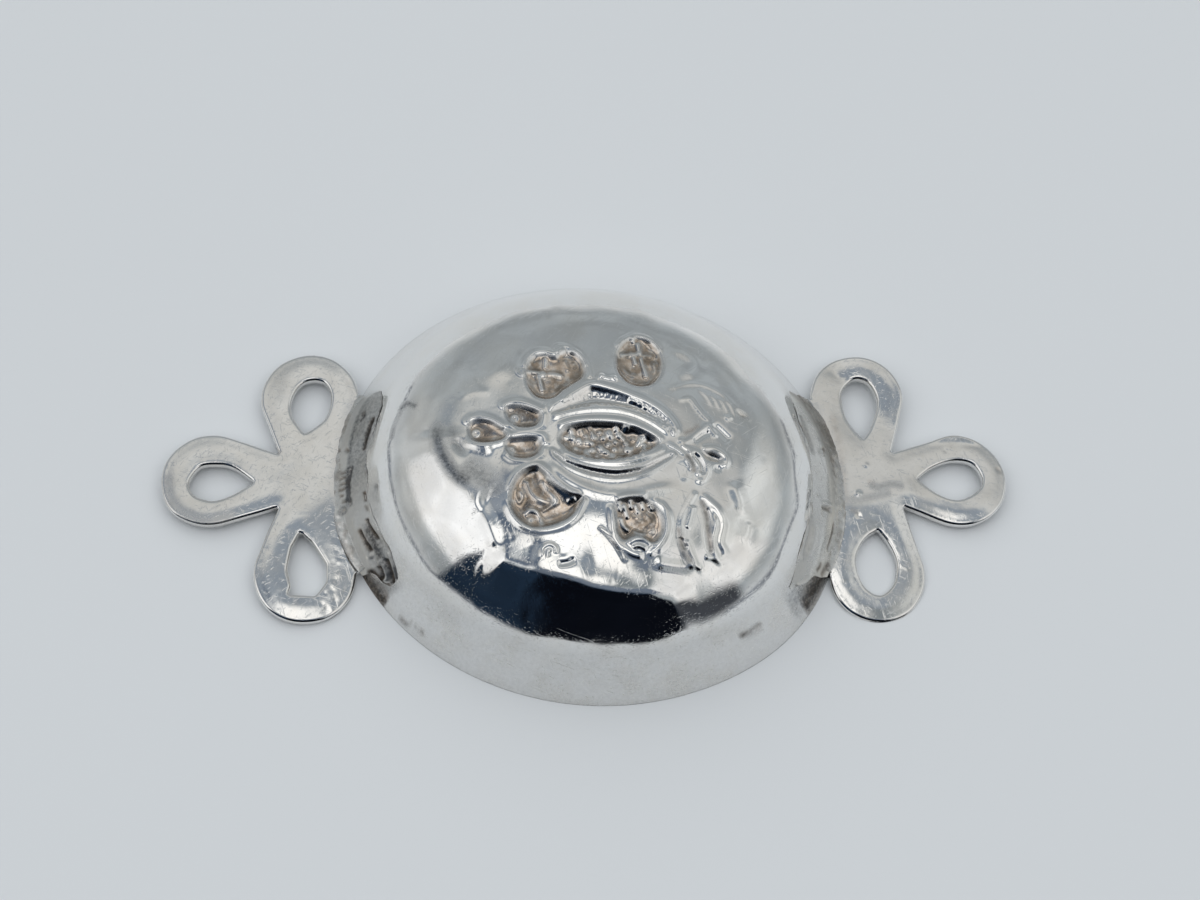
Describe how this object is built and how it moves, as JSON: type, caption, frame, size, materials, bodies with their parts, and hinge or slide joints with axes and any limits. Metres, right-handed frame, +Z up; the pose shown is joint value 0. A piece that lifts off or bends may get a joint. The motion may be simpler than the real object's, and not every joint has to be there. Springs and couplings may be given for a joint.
{
  "type": "porringer",
  "caption": "Small oval silver porringer lying mouth down, with a chased fruit ornament under the bowl and a pierced trefoil handle at each end.",
  "frame": {"origin": "on the plane of the rim, half way between the tips of the two handles", "axes": "+X along the handles, towards the right one as pictured; +Y from the front to the back; +Z up out of the underside of the bowl. The part lies mouth down, so for use mouth up it is turned 180 degrees about X."},
  "size_m": [0.1316, 0.0708, 0.0186],
  "materials": {
    "silver_bowl": "old polished silver, tarnished brown in the chased hollows",
    "silver_handle": "old polished silver with fine scratches and softened edges",
    "silver_strap": "hammered silver, dull where it was soldered",
    "solder": "rough grey silver solder"
  },
  "bodies": {
    "root": {"bowl": "silver_bowl", "left_handle": "silver_handle", "left_strap": "silver_strap", "left_handle_solder": "solder", "left_strap_solder": "solder", "right_handle": "silver_handle", "right_strap": "silver_strap", "right_handle_solder": "solder", "right_strap_solder": "solder"}
  },
  "joints": []
}
